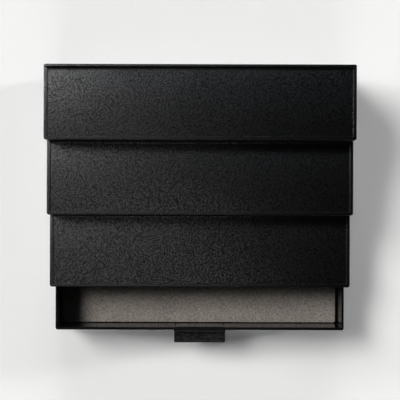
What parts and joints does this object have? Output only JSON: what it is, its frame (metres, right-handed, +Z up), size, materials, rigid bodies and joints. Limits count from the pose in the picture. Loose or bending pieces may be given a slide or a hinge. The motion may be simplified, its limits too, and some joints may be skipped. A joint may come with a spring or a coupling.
{
  "type": "fragrance organizer with drawer",
  "caption": "Stepped stand for fragrance bottles, in black moulded plastic, with a shallow felt-lined drawer and a tab pull under its lowest tread.",
  "frame": {"origin": "bottom centre of the whole object, drawer open as pictured, at the plane of the feet's soles", "axes": "+X to the right along the width, -Y to the front where the drawer opens, +Z up"},
  "size_m": [0.305, 0.2788, 0.1106],
  "materials": {
    "case_plastic": "black, satin, with a fine pebble grain",
    "drawer_plastic": "black, polished",
    "pull_plastic": "black, satin",
    "plate_plastic": "black, fine sandblasted grain",
    "runner_plastic": "dark grey, waxy",
    "screw_steel": "plain zinc-plated steel",
    "screw_black": "black-oxide steel",
    "rubber": "black, matte",
    "liner_felt": "taupe felt, short pressed fibres"
  },
  "bodies": {
    "case": {"stepped_cover": "case_plastic", "base_plate": "plate_plastic", "foot_front_left": "rubber", "foot_front_right": "rubber", "foot_rear_left": "rubber", "foot_rear_right": "rubber", "base_screws": "screw_steel", "runner_screws": "screw_steel", "runner_left": "runner_plastic", "runner_right": "runner_plastic", "bumper_left": "rubber", "bumper_right": "rubber"},
    "drawer": {"drawer_tray": "drawer_plastic", "drawer_liner": "liner_felt", "slide_left": "runner_plastic", "slide_right": "runner_plastic", "pull_tab": "pull_plastic", "pull_backplate": "drawer_plastic", "pull_screws": "screw_black"}
  },
  "joints": [
    {"name": "drawer_slide", "type": "slide", "parent": "case", "child": "drawer", "axis": [0, -1, 0], "range_m": [-0.044, 0.1]}
  ]
}
